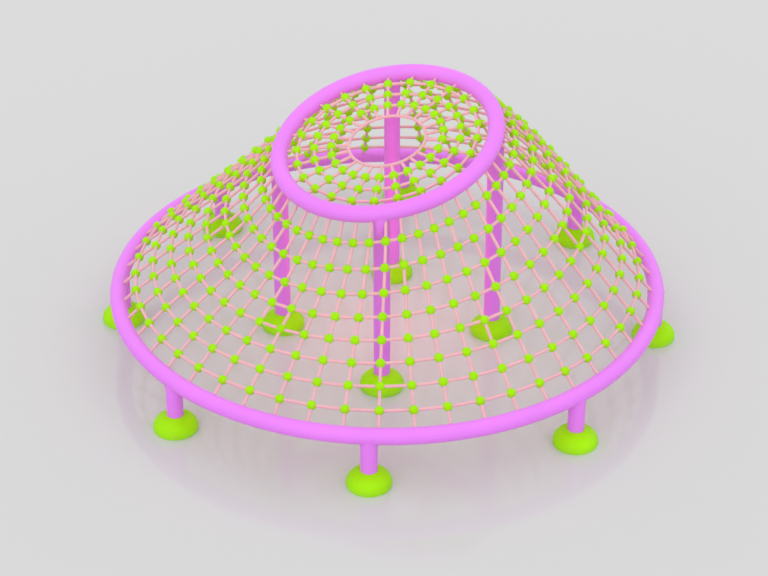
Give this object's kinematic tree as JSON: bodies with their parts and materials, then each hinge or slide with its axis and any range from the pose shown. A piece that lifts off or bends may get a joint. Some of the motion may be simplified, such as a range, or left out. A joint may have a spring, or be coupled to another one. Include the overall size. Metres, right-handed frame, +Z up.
{
  "type": "dome climber",
  "caption": "Rope dome climber: a tilted upper ring on tall posts, a large lower ring on short posts, and a ball-jointed rope net between them with an open hatch in the top.",
  "frame": {"origin": "on the ground under the centre of the lower ring", "axes": "+Z up; +X and +Y each pass through a tall post"},
  "size_m": [4.1036, 4.1036, 1.7737],
  "materials": {
    "violet_paint": "satin powder coat",
    "lime_plastic": "satin moulded",
    "pink_rope": "twisted polyester over steel cores",
    "galvanised_steel": "galvanised",
    "stainless_steel": "satin",
    "aluminium_ferrule": "pressed"
  },
  "bodies": {
    "root": {"lower_ring_arc_1": "violet_paint", "lower_ring_arc_2": "violet_paint", "lower_ring_arc_3": "violet_paint", "lower_ring_arc_4": "violet_paint", "lower_ring_sleeves": "galvanised_steel", "sleeve_screws": "stainless_steel", "upper_ring": "violet_paint", "short_post_1": "violet_paint", "short_post_cover_1": "lime_plastic", "short_post_2": "violet_paint", "short_post_cover_2": "lime_plastic", "short_post_3": "violet_paint", "short_post_cover_3": "lime_plastic", "short_post_4": "violet_paint", "short_post_cover_4": "lime_plastic", "short_post_5": "violet_paint", "short_post_cover_5": "lime_plastic", "short_post_6": "violet_paint", "short_post_cover_6": "lime_plastic", "short_post_7": "violet_paint", "short_post_cover_7": "lime_plastic", "short_post_8": "violet_paint", "short_post_cover_8": "lime_plastic", "tall_post_1": "violet_paint", "tall_post_cover_1": "lime_plastic", "tall_post_2": "violet_paint", "tall_post_cover_2": "lime_plastic", "tall_post_3": "violet_paint", "tall_post_cover_3": "lime_plastic", "tall_post_4": "violet_paint", "tall_post_cover_4": "lime_plastic", "base_plates": "galvanised_steel", "meridian_ropes": "pink_rope", "hoop_ropes_1": "pink_rope", "hoop_balls_1": "lime_plastic", "hoop_ropes_2": "pink_rope", "hoop_balls_2": "lime_plastic", "hoop_ropes_3": "pink_rope", "hoop_balls_3": "lime_plastic", "hoop_ropes_4": "pink_rope", "hoop_balls_4": "lime_plastic", "hoop_ropes_5": "pink_rope", "hoop_balls_5": "lime_plastic", "hoop_ropes_6": "pink_rope", "hoop_balls_6": "lime_plastic", "hoop_ropes_7": "pink_rope", "hoop_balls_7": "lime_plastic", "hoop_ropes_8": "pink_rope", "hoop_balls_8": "lime_plastic", "spoke_ropes": "pink_rope", "top_hoop_ropes_1": "pink_rope", "top_hoop_balls_1": "lime_plastic", "top_hoop_ropes_2": "pink_rope", "top_hoop_balls_2": "lime_plastic", "top_hoop_ropes_3": "pink_rope", "top_hoop_balls_3": "lime_plastic", "hatch_rope": "pink_rope", "rope_ferrules": "aluminium_ferrule"}
  },
  "joints": []
}
